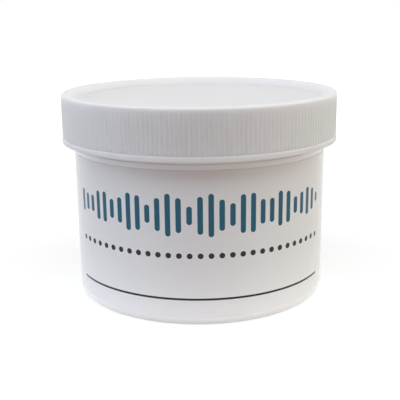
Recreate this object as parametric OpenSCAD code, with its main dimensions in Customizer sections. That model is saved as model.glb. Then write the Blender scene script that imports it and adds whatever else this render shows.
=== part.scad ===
// Hearing aid dryer: a screw-top jar with a desiccant canister between two foam pads.
// Millimetres. The jar stands on z = 0 with its axis on Z, and its front faces -Y.

/* [Jar] */
// Height of the jar's rim above the surface it stands on
rim_z = 63.6; // [63.4:0.1:64.4]
// Outer diameter of the body just under the shoulder ring
body_d = 84.95; // [84.3:0.05:84.95]
// How much smaller the body's radius is at the base
body_draft = 0.25; // [0:0.05:0.3]
// Inner diameter of the body and the neck
bore_d = 82.3; // [82:0.1:82.6]
// Height of the inside floor
floor_z = 2.2; // [1.8:0.1:2.4]
// Width of the rounded edge between base and wall
heel_w = 1.6; // [0.8:0.1:1.6]
// Height of the rounded edge between base and wall
heel_h = 3.2; // [1:0.1:3.2]
// Outer diameter of the shoulder ring
ring_d = 85.7; // [85.6:0.1:85.9]
// Height of the shoulder ring's underside
ring_z = 49.4; // [49.2:0.1:49.6]
// Height of the shoulder ring
ring_h = 2.9; // [2.4:0.1:3]
// Outer diameter of the neck between the thread's turns
neck_d = 86; // [86:0.1:86.2]

/* [Screw thread] */
// Climb in one full turn, five turns to the inch
thread_lead = 5.08; // [5.08:0.01:5.1]
// Turns of thread on the neck
neck_turns = 1.25; // [1:0.05:1.3]
// Turns of thread in the cap
cap_turns = 1.1; // [0.9:0.05:1.2]
// Height that each thread stands off its wall
thread_h = 1.2; // [1:0.05:1.25]

/* [Label] */
// Height of the label's lower edge
label_z = 3.2; // [3.2:0.1:5]
// Width of the label, measured up the jar
label_w = 46; // [40:0.1:46]
// Thickness of the film
label_t = 0.18; // [0.1:0.02:0.2]
// Length of the end that is lapped over the start
label_lap = 6; // [3:1:10]

/* [Cap] */
// Height of the cap
cap_h = 16.2; // [16:0.1:16.3]
// Diameter over the ribs
cap_d = 93; // [92.8:0.1:93.2]
// Diameter over the lip
lip_d = 93.3; // [93.2:0.1:93.5]
// Number of ribs round the skirt
rib_count = 204; // [180:4:216]
// Depth of the grooves between the ribs
rib_depth = 0.15; // [0.15:0.05:0.3]
// Inner diameter of the skirt
skirt_d = 89.2; // [89:0.1:89.3]
// Diameter of the flat sunk panel
panel_d = 83; // [82.6:0.1:84]
// Width of the sloping wall round the panel
panel_wall_w = 2.5; // [1.5:0.1:2.8]
// Depth of the sunk panel below the raised ring
panel_sink = 2.3; // [1.8:0.1:2.3]
// Thickness of the sealing disc
liner_t = 1.2; // [1.1:0.1:1.3]

/* [Canister] */
// Outer diameter of the canister
can_d = 75; // [72:0.5:76]
// Height of the canister
can_h = 20; // [18:0.5:21]
// Thickness of the sheet that the cup and cover are drawn from
sheet_t = 0.5; // [0.4:0.05:0.6]
// Diameter of the window's opening in the cover
window_d = 18; // [16:0.5:20]
// Diameter of the small vent holes in the cover
vent_d = 2; // [1.6:0.1:2.4]
// Rings of vent holes
vent_rings = 4; // [3:1:4]
// Diameter of an indicator bead
bead_d = 3; // [2.4:0.1:3]

/* [Foam pads] */
// Diameter of the upper pad
pad_d = 81.6; // [80:0.2:81.6]
// Thickness of the upper pad
pad_t = 10; // [8:0.5:12]
// Diameter of the hole over the window
pad_hole_d = 24; // [23:0.5:28]
// Thickness of the lower pad
under_pad_t = 4; // [3:0.5:5]

/* [Hidden] */
$fn = 180;

body_r = body_d / 2;
base_r = body_r - body_draft;
bore_r = bore_d / 2;
neck_r = neck_d / 2;
ring_r = ring_d / 2;
standing_ring_w = 2.4;
standing_in_r = base_r - heel_w - standing_ring_w;
base_hollow = 0.8;
hollow_slope = 1.2;
inner_corner_r = 1.6;
step_edge = 0.15;
soft_edge = 0.4;

skirt_r = skirt_d / 2;
cap_r = cap_d / 2;
root_r = cap_r - rib_depth;
lip_r = lip_d / 2;
panel_under_z = rim_z + liner_t;
panel_t = 1.3;
panel_z = panel_under_z + panel_t;
cap_top_z = panel_z + panel_sink;
cap_foot_z = cap_top_z - cap_h;
lip_side_h = 1.45;
lip_round = 0.4;
rib_above_lip = 0.05;
rib_low_z = cap_foot_z + lip_side_h + lip_round + rib_above_lip;
corner_r = 1.1;
rib_top_z = cap_top_z - corner_r;
panel_r = panel_d / 2;
wall_slope = atan(panel_sink / panel_wall_w);
land_round = 0.8;
panel_fillet = 0.8;
skirt_flare = [0.4, 0.6];
// A rib's half widths at its crest and at its foot, as shares of the pitch
rib_crest = 0.17;
rib_foot = 0.37;
// The ribs' crests lie just inside the rounded corner, which they are tucked under
rib_inset = 0.03;
rib_r = cap_r - rib_inset;
rib_sink = 0.2;
rib_foot_r = root_r - rib_sink;
rib_tuck = 0.15;
rib_fuse = 0.4;
liner_play = 0.6;
liner_r = skirt_r - liner_play;

// The thread's section is a trapezium, sunk in its wall and run out flush at its ends
thread_root_w = 2.2;
thread_crest_w = 1;
flank_slope = (thread_root_w - thread_crest_w) / 2 / thread_h;
thread_sink = 0.4;
thread_dip = 0.1;
thread_fade = 24;
thread_step = 5;
thread_gap = 0.4;
thread_below_rim = 2.3;
neck_thread_z = rim_z - thread_below_rim - neck_turns * thread_lead;
// The cap's thread follows the neck's from below, a small gap under it
cap_thread_turn = 90;
cap_thread_under = thread_root_w - flank_slope * (skirt_r - neck_r) + thread_gap;
cap_thread_z = neck_thread_z - cap_thread_under + thread_lead * cap_thread_turn / 360;

label_top_z = label_z + label_w;
film_gap = 0.05;
lap_weld = 0.02;

fit_gap = 0.1;
// How far a cutter runs past each face of the sheet it cuts
cut_over = 1;
can_z = floor_z + under_pad_t;
can_top_z = can_z + can_h;
can_r = can_d / 2;
can_in_r = can_r - sheet_t;
can_corner_r = 2;
crimp_w = 1.9;
crimp_in_r = can_r - crimp_w;
crimp_h = 1.4;
crimp_round = 0.7;
cover_z = can_top_z - crimp_h - sheet_t;
cover_r = can_in_r - fit_gap;
filter_t = 0.5;
window_r = window_d / 2;
lens_gap = 0.05;
lens_r = window_r - lens_gap;
lens_flange_w = 1.2;
lens_flange_r = window_r + lens_flange_w;
lens_flange_t = 0.6;
lens_stand = 0.2;
lens_bulge_r = 45;
grommet_w = 2;
grommet_r = window_r + grommet_w;
grommet_h = 0.8;
grommet_round = 0.35;
vent_r = vent_d / 2;
first_vent_r = 14;
vent_ring_step = 5.5;
vent_pitch = 6.6;
bead_rings = 3;
bead_gap = 0.05;
bead_pitch = bead_d + bead_gap;
bead_z = cover_z - lens_flange_t - bead_d / 2 - fit_gap;
pocket_r = (bead_rings + 0.5) * bead_pitch + fit_gap;
pocket_z = bead_z - bead_d / 2;
fill_top_z = cover_z - filter_t - fit_gap;

// Points along an arc in the plane of a turned section
function arc(centre, r, from, to, steps = 8) = [
    for (i = [0:steps])
        let (a = from + (to - from) * i / steps)
        centre + r * [cos(a), sin(a)]
];

// Points along the lower outer quarter of an oval, from its lowest point to its side
function heel(side, w, h, steps = 10) = [
    for (i = [0:steps])
        let (a = 90 * i / steps)
        [side - w + w * sin(a), h - h * cos(a)]
];

module turned(section) {
    rotate_extrude() polygon(section);
}

module ring_plate(outer_r, inner_r, z, t) {
    turned([[inner_r, z], [outer_r, z], [outer_r, z + t], [inner_r, z + t]]);
}

// The body tapers evenly from under the shoulder ring to the heel
function wall_r(z) = base_r + body_draft * z / ring_z;

// Share of the thread's full height, which runs in and out over thread_fade degrees
function fade(turned_by, turns) =
    max(0, min(1, turned_by / thread_fade, (360 * turns - turned_by) / thread_fade));

// Four corners of the thread's section, side = 1 on the outside of a wall and -1 inside it
function thread_section(a, wall, side, turns, low_z) =
    let (
        z = low_z + thread_lead * a / 360,
        tip = wall + side * ((thread_h + thread_dip) * fade(a, turns) - thread_dip),
        foot = wall - side * thread_sink,
        foot_w = thread_root_w / 2 + flank_slope * thread_sink,
        tip_w = thread_crest_w / 2
    )
    [[foot, z - foot_w], [tip, z - tip_w], [tip, z + tip_w], [foot, z + foot_w]];

// A screw thread carried up a wall from low_z, starting at the angle first
module thread(wall, side, turns, low_z, first) {
    steps = round(360 * turns / thread_step);
    points = [
        for (i = [0:steps])
            let (a = 360 * turns * i / steps)
            for (p = thread_section(a, wall, side, turns, low_z))
                [p[0] * cos(a + first), p[0] * sin(a + first), p[1]]
    ];
    sides = [
        for (i = [0:steps - 1], j = [0:3])
            let (k = (j + 1) % 4, a = 4 * i + j, b = 4 * i + k)
            for (t = [[a, b, b + 4], [a, b + 4, a + 4]])
                side > 0 ? t : [t[2], t[1], t[0]]
    ];
    last = 4 * steps;
    ends = [
        for (t = [[2, 1, 0], [3, 2, 0], [last, last + 1, last + 2], [last, last + 2, last + 3]])
            side > 0 ? t : [t[2], t[1], t[0]]
    ];
    polyhedron(points, concat(sides, ends));
}

module jar_blank() {
    turned(concat(
        [[0, base_hollow], [standing_in_r - hollow_slope, base_hollow], [standing_in_r, 0]],
        heel(wall_r(heel_h), heel_w, heel_h),
        arc([body_r + step_edge, ring_z - step_edge], step_edge, 180, 90, 4),
        arc([ring_r - step_edge, ring_z + step_edge], step_edge, -90, 0, 4),
        [[ring_r, ring_z + ring_h], [neck_r, ring_z + ring_h + neck_r - ring_r]],
        arc([neck_r - soft_edge, rim_z - soft_edge], soft_edge, 0, 90, 5),
        arc([bore_r + soft_edge, rim_z - soft_edge], soft_edge, 90, 180, 5),
        arc([bore_r - inner_corner_r, floor_z + inner_corner_r], inner_corner_r, 0, -90),
        [[0, floor_z]]
    ));
}

module jar() color("white") {
    jar_blank();
    thread(neck_r, 1, neck_turns, neck_thread_z, 0);
}

// One layer of film round the tapered wall, at the distance off from it
module film(off, turn) {
    rotate([0, 0, 90])
        rotate_extrude(angle = turn)
            polygon([
                [wall_r(label_z) + off, label_z],
                [wall_r(label_z) + off + label_t, label_z],
                [wall_r(label_top_z) + off + label_t, label_top_z],
                [wall_r(label_top_z) + off, label_top_z]
            ]);
}

module label() color("whitesmoke") {
    film(film_gap, 360);
    film(film_gap + label_t - lap_weld, label_lap / body_r * 180 / PI);
}

module cap_blank() {
    turned(concat(
        [[0, panel_under_z]],
        arc([skirt_r - soft_edge, panel_under_z - soft_edge], soft_edge, 90, 0, 4),
        [[skirt_r, cap_foot_z + skirt_flare[1]], [skirt_r + skirt_flare[0], cap_foot_z]],
        arc([lip_r - soft_edge, cap_foot_z + soft_edge], soft_edge, -90, 0, 5),
        arc(
            [lip_r - lip_round, cap_foot_z + lip_side_h], lip_round,
            0, acos((root_r - lip_r + lip_round) / lip_round)
        ),
        [[root_r, rib_top_z]],
        arc([cap_r - corner_r, rib_top_z], corner_r, 0, 90),
        arc(
            [panel_r + panel_wall_w + land_round * tan(wall_slope / 2), cap_top_z - land_round],
            land_round, 90, 90 + wall_slope, 4
        ),
        arc(
            [panel_r - panel_fillet * tan(wall_slope / 2), panel_z + panel_fillet],
            panel_fillet, wall_slope - 90, -90, 4
        ),
        [[0, panel_z]]
    ));
}

// Outline of the ribbed skirt: flat crests with sloping sides that run down into the wall
function rib_outline() = [
    for (i = [0:rib_count - 1])
        for (p = [[-rib_foot, rib_foot_r], [-rib_crest, rib_r], [rib_crest, rib_r], [rib_foot, rib_foot_r]])
            let (a = (i + p[0]) * 360 / rib_count)
            p[1] * [cos(a), sin(a)]
];

module ribs() {
    translate([0, 0, rib_low_z])
        linear_extrude(rib_top_z + rib_tuck - rib_low_z)
            difference() {
                polygon(rib_outline());
                circle(r = rib_foot_r - rib_fuse);
            }
}

module cap() color("snow") {
    cap_blank();
    ribs();
    thread(skirt_r, -1, cap_turns, cap_thread_z, cap_thread_turn);
}

module cap_liner() color("ivory") {
    translate([0, 0, rim_z]) cylinder(r = liner_r, h = liner_t);
}

module lower_foam_pad() color("dimgray") {
    translate([0, 0, floor_z]) cylinder(r = bore_r - inner_corner_r, h = under_pad_t);
}

module canister_cup() color("silver") {
    turned(concat(
        [[0, can_z]],
        arc([can_r - can_corner_r, can_z + can_corner_r], can_corner_r, -90, 0),
        arc([can_r - crimp_round, can_top_z - crimp_round], crimp_round, 0, 90, 5),
        arc([crimp_in_r + crimp_round, can_top_z - crimp_round], crimp_round, 90, 180, 5),
        [[crimp_in_r, can_top_z - crimp_h], [can_in_r, can_top_z - crimp_h]],
        arc([can_r - can_corner_r, can_z + can_corner_r], can_corner_r - sheet_t, 0, -90),
        [[0, can_z + sheet_t]]
    ));
}

module canister_cover() color("lightgray") {
    difference() {
        translate([0, 0, cover_z]) cylinder(r = cover_r, h = sheet_t);
        translate([0, 0, cover_z - cut_over]) cylinder(r = window_r, h = sheet_t + 2 * cut_over);
        for (ring = [0:vent_rings - 1]) {
            r = first_vent_r + ring * vent_ring_step;
            count = floor(2 * PI * r / vent_pitch);
            for (i = [0:count - 1])
                rotate([0, 0, 360 * i / count])
                    translate([r, 0, cover_z - cut_over])
                        cylinder(r = vent_r, h = sheet_t + 2 * cut_over, $fn = 24);
        }
    }
}

module cover_filter() color("beige") {
    ring_plate(cover_r, lens_flange_r + fit_gap, cover_z - filter_t, filter_t);
}

// A flanged disc held from below, with a slightly domed face
module window_lens() color("lightcyan") {
    half = asin(lens_r / lens_bulge_r);
    edge_z = cover_z + sheet_t + lens_stand;
    turned(concat(
        [[0, cover_z - lens_flange_t], [lens_flange_r, cover_z - lens_flange_t]],
        [[lens_flange_r, cover_z], [lens_r, cover_z]],
        arc([0, edge_z - lens_bulge_r * cos(half)], lens_bulge_r, 90 - half, 90)
    ));
}

module window_grommet() color("white") {
    z = cover_z + sheet_t;
    round_z = z + grommet_h - grommet_round;
    turned(concat(
        [[window_r, z], [grommet_r, z]],
        arc([grommet_r - grommet_round, round_z], grommet_round, 0, 90, 4),
        arc([window_r + grommet_round, round_z], grommet_round, 90, 180, 4)
    ));
}

module desiccant_fill() color("gainsboro") {
    low_z = can_z + sheet_t;
    turned([
        [0, low_z], [can_r - can_corner_r, low_z],
        [cover_r, can_z + can_corner_r], [cover_r, fill_top_z],
        [pocket_r, fill_top_z], [pocket_r, pocket_z], [0, pocket_z]
    ]);
}

// A middle bead with three closed rings of beads round it
module indicator_beads() color("royalblue") {
    for (ring = [0:bead_rings]) {
        count = max(1, 6 * ring);
        for (i = [0:count - 1])
            rotate([0, 0, 360 * i / count])
                translate([ring * bead_pitch, 0, bead_z])
                    sphere(d = bead_d, $fn = 24);
    }
}

module upper_foam_pad() color("gray") {
    ring_plate(pad_d / 2, pad_hole_d / 2, can_top_z, pad_t);
}

jar();
label();
cap();
cap_liner();
lower_foam_pad();
canister_cup();
canister_cover();
cover_filter();
window_lens();
window_grommet();
desiccant_fill();
indicator_beads();
upper_foam_pad();
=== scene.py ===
import math

import bpy
import numpy as np
from mathutils import Matrix, Vector


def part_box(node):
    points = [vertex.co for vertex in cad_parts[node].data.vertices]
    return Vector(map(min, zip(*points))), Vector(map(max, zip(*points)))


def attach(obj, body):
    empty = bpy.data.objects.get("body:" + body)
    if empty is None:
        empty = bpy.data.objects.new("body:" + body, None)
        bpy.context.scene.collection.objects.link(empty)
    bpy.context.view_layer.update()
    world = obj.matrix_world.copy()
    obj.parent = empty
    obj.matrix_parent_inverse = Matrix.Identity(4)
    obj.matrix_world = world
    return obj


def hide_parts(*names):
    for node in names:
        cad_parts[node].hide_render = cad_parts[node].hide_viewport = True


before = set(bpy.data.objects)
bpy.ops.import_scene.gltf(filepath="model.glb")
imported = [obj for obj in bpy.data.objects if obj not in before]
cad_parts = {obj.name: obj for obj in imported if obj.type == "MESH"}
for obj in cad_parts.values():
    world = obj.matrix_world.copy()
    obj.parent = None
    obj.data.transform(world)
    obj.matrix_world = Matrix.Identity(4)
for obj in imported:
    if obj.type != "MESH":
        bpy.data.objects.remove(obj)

bl_info = {
    "name": "Hearing aid dryer",
    "version": (1, 0, 0),
    "blender": (4, 5, 0),
    "location": "3D View > Sidebar > Dryer",
    "description": "Builds the surfaces and finishes of a screw-top drying jar on its packed model",
    "category": "Object",
}

MM = 0.001
TAU = 2 * math.pi
COLUMNS = 408  # corners once round a large piece
FRONT = -TAU / 4  # angle of the middle of the label's print
BOX = {node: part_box(node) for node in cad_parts}


def low(node):
    """Height of a node's underside, from the frame, in millimetres."""
    return BOX[node][0].z / MM


def high(node):
    """Height of a node's top, from the frame, in millimetres."""
    return BOX[node][1].z / MM


def reach(node):
    """Largest radius of a round node, from the frame, in millimetres."""
    return BOX[node][1].y / MM


def span(node):
    """Radius, underside and top of a round node, in metres."""
    return reach(node) * MM, low(node) * MM, high(node) * MM


def length(name, description, mm):
    """A size property, given in millimetres and kept in metres."""
    return bpy.props.FloatProperty(
        name=name, description=description, default=mm * MM, min=0, precision=5,
        subtype="DISTANCE", unit="LENGTH",
    )


def colour(name, description, *rgb):
    """A colour property, given as linear red, green and blue."""
    return bpy.props.FloatVectorProperty(
        name=name, description=description, default=rgb, min=0, max=1, size=3, subtype="COLOR",
    )


def watts(name, power):
    """A lamp's power property."""
    return bpy.props.FloatProperty(name=name, description="Power in watts", default=power, min=0)


# Sizes and colours that a user would change


class JarSizes(bpy.types.PropertyGroup):
    rim_height: length("Rim height", "Height of the rim above the table", high("jar"))
    base_radius: length("Base radius", "Radius of the wall at the table", 42.225)
    draft: length("Draft", "How much the wall widens up to the shoulder ring", 0.25)
    bore_radius: length("Bore radius", "Inner radius of the body and neck", 41.15)
    floor_height: length("Floor height", "Height of the inside floor", low("lower_foam_pad"))
    heel_width: length("Heel width", "Width of the rounded edge between base and wall", 1.6)
    heel_height: length("Heel height", "Height of the rounded edge between base and wall", 3.2)
    standing_ring: length("Standing ring", "Width of the ring that the jar stands on", 2.4)
    hollow: length("Base hollow", "Rise of the base inside the standing ring", 0.8)
    corner_round: length("Inner corner", "Radius of the corner between floor and bore", 1.6)
    ring_radius: length("Ring radius", "Radius of the shoulder ring", 42.85)
    ring_height: length("Ring height", "Height of the shoulder ring's underside", 49.4)
    ring_thickness: length("Ring thickness", "Thickness of the shoulder ring", 1.7)
    undercut: length("Undercut", "Depth of the groove between shoulder ring and neck", 0.4)
    neck_height: length("Neck height", "Height at which the neck has its full radius", 52.3)
    neck_radius: length("Neck radius", "Radius of the neck between the threads", 43)
    edge_round: length("Edge round", "Radius of the rim's edges", 0.4)
    step_round: length("Step round", "Radius of the shoulder ring's lower edge", 0.15)


class ThreadSizes(bpy.types.PropertyGroup):
    lead: length("Lead", "Climb in one turn", 5.08)
    height: length("Thread height", "How far the thread stands off its wall", 1.2)
    root_width: length("Root width", "Width of the thread where it leaves the wall", 2.2)
    crest_width: length("Crest width", "Width of the thread at its crest", 1)
    below_rim: length("Below rim", "Distance of the neck's thread from the rim", 2.3)
    gap: length("Flank gap", "Play between the cap's thread and the neck's", 0.4)
    neck_turns: bpy.props.FloatProperty(
        name="Neck turns", description="Turns of thread on the neck", default=1.25, min=0.5)
    cap_turns: bpy.props.FloatProperty(
        name="Cap turns", description="Turns of thread in the cap", default=1.1, min=0.5)
    run_out: bpy.props.FloatProperty(
        name="Run-out", description="Angle over which a thread fades in and out",
        default=math.radians(24), subtype="ANGLE", unit="ROTATION")
    cap_start: bpy.props.FloatProperty(
        name="Cap start", description="Angle at which the cap's thread begins",
        default=math.radians(90), subtype="ANGLE", unit="ROTATION")


class CapSizes(bpy.types.PropertyGroup):
    foot_height: length("Foot height", "Height of the skirt's lower edge", low("cap"))
    top_height: length("Top height", "Height of the raised ring", high("cap"))
    rib_radius: length("Rib radius", "Radius over the ribs", 46.5)
    rib_depth: length("Rib depth", "Depth of the grooves between the ribs", 0.16)
    rib_fade: length("Rib fade", "Height over which the grooves run out under the corner", 2.2)
    rib_run: length("Rib run", "Height over which the ribs rise out of the notch", 0.5)
    notch: length("Notch", "Depth of the fine groove between the ribs and the lip", 0.2)
    rib_count: bpy.props.IntProperty(
        name="Ribs", description="Number of ribs round the skirt", default=204, min=24)
    lip_radius: length("Lip radius", "Radius of the smooth lip under the ribs", reach("cap"))
    lip_height: length("Lip height", "Height of the lip's straight side", 1.45)
    lip_draft: length("Lip draft", "How much the lip narrows up its straight side", 0.08)
    lip_round: length("Lip round", "Radius of the lip's upper edge", 0.4)
    foot_round: length("Foot round", "Radius of the lip's lower edge", 0.2)
    foot_rise: length("Foot rise", "How much the underside rises from the skirt to the lip", 0.1)
    corner_round: length("Corner round", "Radius of the edge between side and top", 0.75)
    skirt_radius: length("Skirt radius", "Inner radius of the skirt", 44.6)
    panel_radius: length("Panel radius", "Radius of the flat sunk panel", 41.5)
    panel_wall: length("Panel wall", "Width of the sloping wall round the panel", 2.5)
    panel_sink: length("Panel sink", "Depth of the panel below the raised ring", 2.3)
    land_round: length("Land round", "Radius of the raised ring's inner edge", 0.8)
    panel_fillet: length("Panel fillet", "Radius where the panel meets the ring", 0.8)


class LabelSizes(bpy.types.PropertyGroup):
    low_edge: length("Lower edge", "Height of the label's lower edge", low("label"))
    high_edge: length("Upper edge", "Height of the label's upper edge", high("label"))
    film: length("Film", "Thickness of the film", 0.18)
    off_wall: length("Adhesive", "Distance of the film from the wall", 0.05)
    lap: length("Lap", "Length of the end that lies on the start", 6)
    climb: length("Climb", "Length over which the lapped end rises", 3)
    bar_pitch: length("Bar pitch", "Distance from one printed bar to the next", 3.3)
    bar_width: length("Bar width", "Width of a printed bar", 1.7)
    bar_reach: length("Bar reach", "Half height of the tallest bar", 6.8)
    bar_middle: length("Bar middle", "Height of the row of bars", 35.5)
    print_reach: length("Print reach", "Half length of the print, measured round the jar", 48)
    dot_height: length("Dot height", "Height of the row of dark dots", 22.8)
    dot_width: length("Dot width", "Diameter of a dark dot", 1.8)
    rule_height: length("Rule height", "Height of the dark rule", 8.8)
    rule_width: length("Rule width", "Width of the dark rule", 0.7)


class CanisterSizes(bpy.types.PropertyGroup):
    radius: length("Radius", "Outer radius of the cup", reach("canister_cup"))
    low: length("Underside", "Height of the cup's underside", low("canister_cup"))
    high: length("Top", "Height of the crimped ring", high("canister_cup"))
    sheet: length("Sheet", "Thickness of the aluminium", 0.5)
    corner_round: length("Corner round", "Radius of the drawn corner", 2)
    crimp_width: length("Crimp width", "Width of the rolled ring", 1.9)
    crimp_height: length("Crimp height", "Height of the rolled ring", 1.4)
    crimp_round: length("Crimp round", "Radius of the rolled ring's edges", 0.7)
    lens_radius: length("Lens radius", "Radius of the window's clear body", 8.95)
    lens_bulge: length("Lens bulge", "Radius of the dome on the window", 45)
    grommet_bore: length("Grommet bore", "Inner radius of the window's ring", 9)
    filter_gap: length("Filter gap", "Play between the dust filter and the window", 0.1)
    bead: length("Bead", "Diameter of an indicator bead", 3)
    bead_gap: length("Bead gap", "Distance between neighbouring beads", 0.05)
    pocket_gap: length("Pocket gap", "Play between the indicator beads and the bed round them", 0.1)
    bead_rings: bpy.props.IntProperty(
        name="Bead rings", description="Rings of beads round the middle one", default=3, min=1)


class PadSizes(bpy.types.PropertyGroup):
    hole_radius: length("Window hole", "Radius of the upper pad's hole over the window", 12)
    cut_round: length("Cut edge", "Radius of a pad's pressed edges", 0.9)
    pinch: length("Pinch", "How far a cut side is drawn in half way up", 0.35)
    crown: length("Crown", "Fall of the top from its middle to its edges", 0.35)
    wave: length("Wave", "Height of the slow waves in the top", 0.08)
    rim_mark: length("Rim mark", "Depth of the jar rim's mark in the sealing disc", 0.12)


class Finishes(bpy.types.PropertyGroup):
    cap: colour("Cap", "Polypropylene of the cap", 0.80, 0.80, 0.815)
    jar: colour("Jar", "Polypropylene of the jar", 0.90, 0.895, 0.90)
    film: colour("Label film", "Unprinted film of the label", 0.815, 0.815, 0.83)
    teal: colour("Teal ink", "Ink of the printed bars", 0.002, 0.095, 0.165)
    slate: colour("Slate ink", "Ink of the printed rules", 0.012, 0.012, 0.014)
    liner: colour("Liner", "Foamed sheet of the sealing disc", 0.74, 0.74, 0.71)
    pad: colour("Pads", "Open-cell foam of the pads", 0.055, 0.058, 0.066)
    # Painted shade inside the pads' open cells, not a colour of the foam itself.
    pad_cell_shade: colour("Pad cell shade", "Dark mouths of the pads' open cells", 0.006, 0.006, 0.007)
    metal: colour("Aluminium", "Sheet of the canister", 0.78, 0.79, 0.80)
    felt: colour("Filter", "Felt of the dust filter", 0.70, 0.68, 0.62)
    window: colour("Window", "Clear plastic of the window", 0.96, 0.98, 0.985)
    ripple: colour("Window ripple", "Window plastic in the mould's ripples", 0.90, 0.95, 0.96)
    grommet: colour("Grommet", "Plastic of the window's ring", 0.80, 0.80, 0.80)
    gel: colour("Silica gel", "Plain drying beads", 0.74, 0.76, 0.76)
    pale_gel: colour("Pale silica gel", "Palest of the plain beads", 0.86, 0.88, 0.88)
    indicator: colour("Indicator gel", "Colour-change beads", 0.02, 0.07, 0.36)
    pale_indicator: colour("Pale indicator gel", "Palest of the colour-change beads", 0.12, 0.24, 0.62)


class StageSettings(bpy.types.PropertyGroup):
    eye: bpy.props.FloatVectorProperty(
        name="Camera", description="Place of the camera", default=(0, -0.2700, 0.09822),
        size=3, precision=5, subtype="TRANSLATION", unit="LENGTH")
    pitch: bpy.props.FloatProperty(
        name="Pitch", description="Angle of the view below level", default=0.24895,
        subtype="ANGLE", unit="ROTATION")
    roll: bpy.props.FloatProperty(
        name="Roll", description="Turn of the camera about its view", default=-0.01093,
        subtype="ANGLE", unit="ROTATION")
    lens: bpy.props.FloatProperty(
        name="Lens", description="Focal length in millimetres", default=71.1, min=10)
    floor: length("Floor", "Half width of the floor", 3000)
    fill: bpy.props.FloatProperty(
        name="Fill", description="Strength of the world's plain light", default=0.21, min=0)
    overhead: watts("Overhead lamp", 2.9)
    high_front: watts("High front lamp", 4.33)
    left: watts("Left lamp", 4.7)
    right: watts("Right lamp", 4.4)
    low_left: watts("Low left lamp", 0.95)
    low_right: watts("Low right lamp", 1.8)


# Profiles: rows of (radius, height), walked so that the solid lies on the left


def arc(radius, height, bend, start, stop, steps=8):
    """Points on a circle of radius bend about (radius, height), from start to stop degrees."""
    turn = np.radians(np.linspace(start, stop, steps + 1))
    return np.stack([radius + bend * np.cos(turn), height + bend * np.sin(turn)], -1)


def outline(*parts):
    """One profile from single points and arcs, in order."""
    return np.concatenate([np.atleast_2d(np.asarray(part, float)) for part in parts])


def held(profile, closed=False, hold=0.12 * MM):
    """Add points a hold in from both ends of each stretch of more than five holds, which keeps its
    shading flat."""
    shortest = 5 * hold
    ends = np.roll(profile, -1, axis=0)
    stretch = np.linalg.norm(ends - profile, axis=1)
    rows = []
    for here, there, run in zip(profile, ends, stretch):
        rows.append(here)
        if run > shortest:
            step = (there - here) * hold / run
            rows += [here + step, there - step]
    if not closed and stretch[-1] > shortest:
        rows = rows[:-2]
    return np.array(rows)


# Surfaces: an array of corners with a list of face arrays


def smooth(share):
    """A share between 0 and 1 that leaves both ends level: s * s * (3 - 2 s)."""
    share = np.clip(share, 0, 1)
    return share * share * (3 - 2 * share)


def grid_faces(rows, columns, wrap_rows=False, wrap_columns=True):
    """Corner numbers of a grid's four-sided faces, for corners stored row after row."""
    row = np.arange(rows if wrap_rows else rows - 1)[:, None]
    column = np.arange(columns if wrap_columns else columns - 1)[None, :]
    above, beside = (row + 1) % rows, (column + 1) % columns
    return np.stack([
        row * columns + column, row * columns + beside,
        above * columns + beside, above * columns + column,
    ], -1).reshape(-1, 4)


def about_axis(radius, height, angles):
    """x = r cos a, y = r sin a, z = h, for every row of radius and height and every angle."""
    return np.stack(np.broadcast_arrays(
        radius * np.cos(angles), radius * np.sin(angles), height), -1)


def fans(first, last, columns, low_pole, high_pole):
    """Triangles from a pole to the ring that starts at corner first, and from the ring that starts
    at corner last to another pole."""
    column = np.arange(columns)
    beside = (column + 1) % columns
    return [
        np.stack([np.full(columns, low_pole), first + beside, first + column], -1),
        np.stack([last + column, last + beside, np.full(columns, high_pole)], -1),
    ]


def turned(profile, columns=COLUMNS):
    """Carry a profile that starts and ends on the axis once round it, with a fan at each pole."""
    angles = np.arange(columns) * TAU / columns
    wall = profile[1:-1]
    grid = about_axis(wall[:, :1], wall[:, 1:], angles).reshape(-1, 3)
    corners = np.concatenate([grid, [[0, 0, profile[0, 1]], [0, 0, profile[-1, 1]]]])
    ends = fans(0, len(grid) - columns, columns, len(grid), len(grid) + 1)
    return corners, [grid_faces(len(wall), columns), *ends]


def turned_ring(profile, columns=COLUMNS):
    """Carry a closed profile that stays off the axis once round it."""
    angles = np.arange(columns) * TAU / columns
    grid = about_axis(profile[:, :1], profile[:, 1:], angles)
    return grid.reshape(-1, 3), [grid_faces(len(profile), columns, wrap_rows=True)]


def joined(*shells):
    """Several closed shells as one set of corners and faces."""
    starts = np.cumsum([0] + [len(corners) for corners, _ in shells])
    corners = np.concatenate([corners for corners, _ in shells])
    faces = [face + start for (_, many), start in zip(shells, starts) for face in many]
    return corners, faces


def thread(wall, side, turns, low_height, first, sizes, per_turn=144):
    """A rounded trapezium carried up a helix: height = low + lead a / turn at the angle first + a.
    It stands off the wall by its height, which fades to just under the wall at both ends."""
    sink, dip = 0.4 * MM, 0.1 * MM
    a = np.linspace(0, TAU * turns, round(turns * per_turn) + 1)[:, None]
    fade = smooth(np.minimum(a, TAU * turns - a) / sizes.run_out)
    slope = (sizes.root_width - sizes.crest_width) / 2
    share = np.array([0.0, 0.78, 0.94, 1.0])
    rounding = np.array([0, 0, 0.05, 0.2]) * MM
    across = -sizes.crest_width / 2 - slope * (1 - share) + rounding
    share, across = np.append(share, share[::-1]), np.append(across, -across[::-1])
    off = (sizes.height + dip) * fade * share - dip
    off[:, [0, -1]] = -sink
    across = across + np.zeros_like(off)
    across[:, 0] -= slope * sink / sizes.height
    across[:, -1] += slope * sink / sizes.height
    radius = wall + side * off
    height = low_height + sizes.lead * a / TAU + across
    rows, points = radius.shape
    corners = np.stack([
        radius * np.cos(a + first), radius * np.sin(a + first), height], -1).reshape(-1, 3)
    faces = [
        grid_faces(rows, points)[:, ::-1],
        np.arange(points)[None, :],
        (rows - 1) * points + np.arange(points)[None, ::-1],
    ]
    return corners, [face[:, ::side] for face in faces]


# Pieces


SOFT_CREASE = 60


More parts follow.
